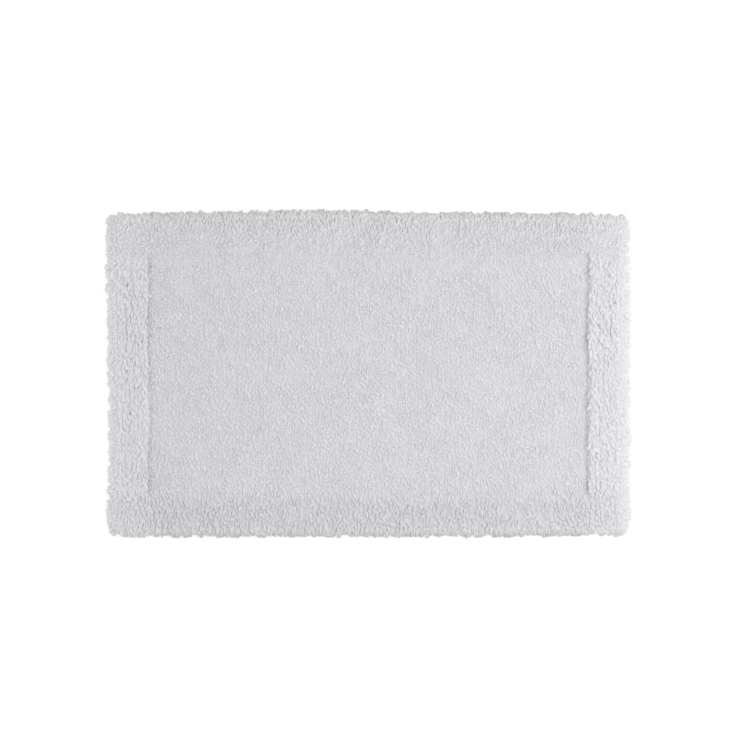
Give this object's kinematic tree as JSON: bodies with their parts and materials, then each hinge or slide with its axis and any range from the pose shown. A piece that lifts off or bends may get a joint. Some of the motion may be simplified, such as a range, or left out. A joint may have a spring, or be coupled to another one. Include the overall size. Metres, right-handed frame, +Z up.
{
  "type": "bath mat",
  "caption": "Rectangular tufted cotton bath mat: a low cut-pile field inside a taller, shaggier border, on a hemmed, latex-backed base cloth.",
  "frame": {"origin": "on the floor, under the centre of the mat's outline", "axes": "+X along the long side, +Y along the short side towards the back hem, +Z up out of the pile"},
  "size_m": [0.864, 0.533, 0.0184],
  "materials": {
    "pile": "soft matte cut cotton yarn, white",
    "base_cloth": "plain woven cotton, unbleached",
    "latex": "dull off-white latex coating with the tufting rows showing through",
    "hem_tape": "cotton twill tape, white",
    "thread": "spun polyester sewing thread, white",
    "label": "blank woven satin, slight sheen"
  },
  "bodies": {
    "root": {"base_cloth": "base_cloth", "latex_backing": "latex", "hem_tape_front": "hem_tape", "hem_tape_back": "hem_tape", "hem_tape_left": "hem_tape", "hem_tape_right": "hem_tape", "hem_thread_front": "thread", "hem_thread_back": "thread", "hem_thread_left": "thread", "hem_thread_right": "thread", "field_pile": "pile", "border_pile_front": "pile", "border_pile_back": "pile", "border_pile_left": "pile", "border_pile_right": "pile", "care_label": "label", "label_thread": "thread"}
  },
  "joints": []
}
